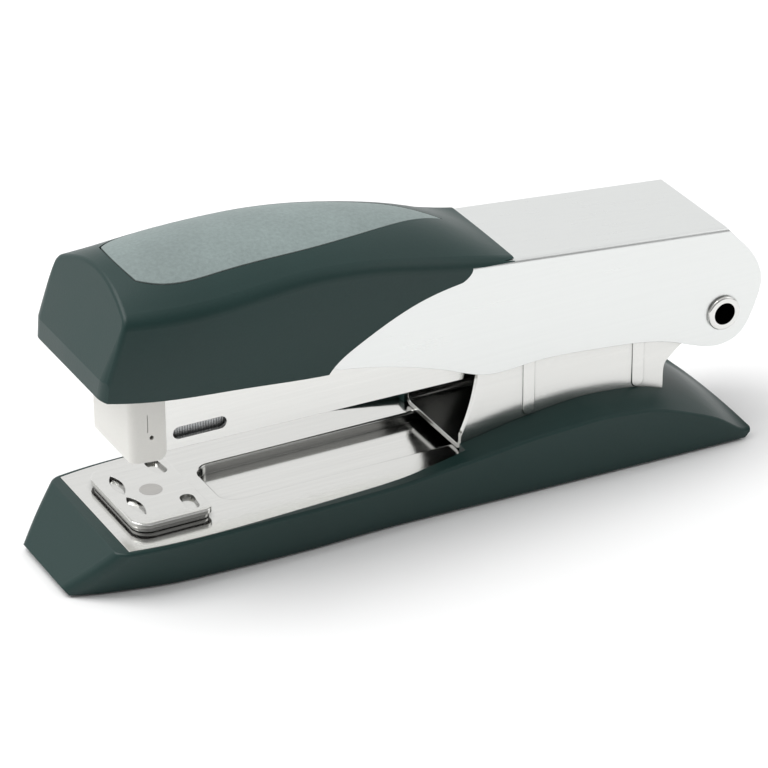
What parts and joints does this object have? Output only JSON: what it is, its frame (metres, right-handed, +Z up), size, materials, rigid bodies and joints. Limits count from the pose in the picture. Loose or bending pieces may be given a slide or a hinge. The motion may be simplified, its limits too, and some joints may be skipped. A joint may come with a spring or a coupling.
{
  "type": "stapler",
  "caption": "Desk stapler with a sprung sheet-metal arm and magazine on a rear pivot, a sliding staple pusher and a reversible anvil.",
  "frame": {"origin": "centre of the underside's bounding box, on the desk", "axes": "+X towards the pivot end, nose at -X; +Y across; +Z up"},
  "size_m": [0.138, 0.0338, 0.0588],
  "materials": {
    "base_plastic": "fine satin grain, dark green-grey",
    "grip_plastic": "soft-touch, fine leather-like grain",
    "foot_rubber": "matt",
    "cream_plastic": "smooth satin",
    "nickel_plate": "nickel plated, satin bright",
    "bright_steel": "bright rolled",
    "silver_arm": "silver lacquer, satin",
    "plain_steel": "zinc plated",
    "spring_steel": "oiled spring steel",
    "staple_wire": "galvanised wire"
  },
  "bodies": {
    "base": {"base_shell": "base_plastic", "base_plate": "nickel_plate", "rubber_feet": "foot_rubber", "bracket": "nickel_plate", "bracket_rivets": "plain_steel", "pivot_tube": "nickel_plate", "pivot_spacers": "plain_steel", "magazine_spring": "spring_steel", "anvil_spring": "spring_steel"},
    "anvil_lifter": {"anvil_button": "plain_steel"},
    "anvil": {"anvil_plate": "nickel_plate", "anvil_backing": "nickel_plate", "anvil_post": "plain_steel"},
    "magazine": {"magazine_channel": "bright_steel", "staple_rail": "plain_steel", "staple_strip": "staple_wire", "guide_rod": "plain_steel", "rod_anchor": "plain_steel", "rear_stop": "plain_steel", "pusher_spring": "spring_steel", "nose_cover": "cream_plastic"},
    "pusher": {"pusher": "plain_steel"},
    "return_leaf": {"return_leaf": "spring_steel"},
    "arm": {"arm_shell": "silver_arm", "driver_blade": "plain_steel", "blade_rivets": "plain_steel", "cap_shell": "base_plastic", "cap_grip": "grip_plastic"}
  },
  "joints": [
    {"name": "magazine_swing", "type": "hinge", "parent": "base", "child": "magazine", "pos_m": [0.061, 0, 0.0251], "axis": [0, -1, 0], "range_deg": [0, 5.15], "stiffness_Nm_per_rad": 1.2, "springref_deg": -14.32, "deforming": ["magazine_spring"]},
    {"name": "driver_stroke", "type": "hinge", "parent": "magazine", "child": "return_leaf", "pos_m": [0.061, 0, 0.0251], "axis": [0, -1, 0], "range_deg": [0, 3.8], "stiffness_Nm_per_rad": 6, "springref_deg": -4.58},
    {"name": "arm_open", "type": "hinge", "parent": "return_leaf", "child": "arm", "pos_m": [0.061, 0, 0.0251], "axis": [0, 1, 0], "range_deg": [0, 95]},
    {"name": "pusher_slide", "type": "slide", "parent": "magazine", "child": "pusher", "axis": [1, 0, 0], "range_m": [0, 0.036], "stiffness_N_per_m": 25, "springref_m": -0.03, "deforming": ["pusher_spring"]},
    {"name": "anvil_lift", "type": "slide", "parent": "base", "child": "anvil_lifter", "axis": [0, 0, -1], "range_m": [-0.0015, 0], "stiffness_N_per_m": 600, "springref_m": 0.002, "deforming": ["anvil_spring"]},
    {"name": "anvil_turn", "type": "hinge", "parent": "anvil_lifter", "child": "anvil", "pos_m": [-0.048, 0, 0.0103], "axis": [0, 0, 1], "range_deg": [0, 180]}
  ]
}
